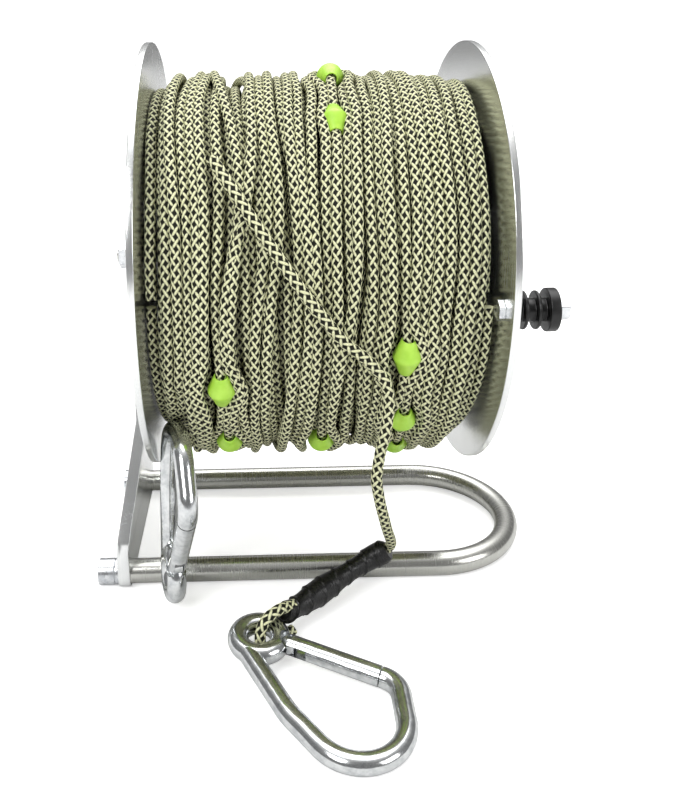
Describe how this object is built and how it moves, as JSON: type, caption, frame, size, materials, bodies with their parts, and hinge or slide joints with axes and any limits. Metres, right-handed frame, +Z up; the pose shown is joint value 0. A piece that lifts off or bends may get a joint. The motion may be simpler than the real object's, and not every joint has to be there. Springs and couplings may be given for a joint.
{
  "type": "hand line reel",
  "caption": "Open hand reel of braided marker line on a flanged spool, cantilevered from a side plate with a U-shaped rod handle that is also its stand, a crank knob and two snap hooks.",
  "frame": {"origin": "centre of the base on the surface the reel stands on, midway between the handle's bolt heads and its bend", "axes": "+X along the axle from the side plate to the crank, +Y from the handle's front leg to its back leg, +Z up"},
  "size_m": [0.22, 0.2705, 0.259],
  "materials": {
    "brushed_aluminium": "brushed",
    "satin_stainless": "satin, drawn along the rod",
    "polished_steel": "polished",
    "zinc_plated_steel": "bright zinc plate",
    "spring_steel": "plain",
    "nylon": "natural nylon",
    "black_rubber": "moulded, satin",
    "braided_line": "braided, pale green yellow with black diamonds",
    "black_tape": "stretched vinyl tape",
    "lime_bead": "moulded, satin"
  },
  "bodies": {
    "frame": {"side_plate": "brushed_aluminium", "handle_loop": "satin_stainless", "handle_bolt_front": "zinc_plated_steel", "handle_bolt_back": "zinc_plated_steel", "lock_washer_front": "zinc_plated_steel", "lock_washer_back": "zinc_plated_steel", "axle": "satin_stainless", "axle_nut": "zinc_plated_steel", "axle_washer_outer": "zinc_plated_steel", "axle_washer_inner": "zinc_plated_steel", "line_tail": "braided_line", "splice_tape": "black_tape"},
    "spool": {"bush_left": "nylon", "bush_right": "nylon", "hub_left": "brushed_aluminium", "hub_right": "brushed_aluminium", "drum_tube": "brushed_aluminium", "flange_left": "brushed_aluminium", "flange_right": "brushed_aluminium", "flange_screws_left": "zinc_plated_steel", "flange_screws_right": "zinc_plated_steel", "crank_bolt": "zinc_plated_steel", "crank_nut": "zinc_plated_steel", "crank_washer": "zinc_plated_steel", "line_winding": "braided_line", "marker_beads": "lime_bead"},
    "crank_knob": {"crank_knob": "black_rubber"},
    "line_hook": {"line_hook_body": "polished_steel"},
    "line_hook_gate": {"line_hook_gate": "polished_steel", "line_hook_pin": "spring_steel", "line_hook_spring": "spring_steel", "line_hook_plunger": "spring_steel"},
    "spare_hook": {"spare_hook_body": "polished_steel"},
    "spare_hook_gate": {"spare_hook_gate": "polished_steel", "spare_hook_pin": "spring_steel", "spare_hook_spring": "spring_steel", "spare_hook_plunger": "spring_steel"}
  },
  "joints": [
    {"name": "spool_spin", "type": "hinge", "parent": "frame", "child": "spool", "pos_m": [-0.004, 0, 0.157], "axis": [1, 0, 0], "continuous": true},
    {"name": "crank_knob_spin", "type": "hinge", "parent": "spool", "child": "crank_knob", "pos_m": [0.0825, -0.088, 0.153], "axis": [1, 0, 0], "continuous": true},
    {"name": "line_hook_swing", "type": "hinge", "parent": "frame", "child": "line_hook", "pos_m": [-0.0316, -0.1024, 0.0105], "axis": [0.0485, -0.0639, 0.9968], "range_deg": [-12, 20]},
    {"name": "line_hook_gate_open", "type": "hinge", "parent": "line_hook", "child": "line_hook_gate", "pos_m": [-0.01858, -0.10566, 0.00966], "axis": [-0.0485, 0.0639, -0.9968], "range_deg": [0, 28], "stiffness_Nm_per_rad": 0.06, "springref_deg": -22.92},
    {"name": "spare_hook_tilt", "type": "hinge", "parent": "frame", "child": "spare_hook", "pos_m": [-0.0718, -0.063, 0.017], "axis": [1, 0, 0], "range_deg": [0, 60]},
    {"name": "spare_hook_gate_open", "type": "hinge", "parent": "spare_hook", "child": "spare_hook_gate", "pos_m": [-0.06894, -0.07165, 0.02689], "axis": [-0.9631, -0.2651, 0.0463], "range_deg": [0, 28], "stiffness_Nm_per_rad": 0.06, "springref_deg": -22.92}
  ]
}
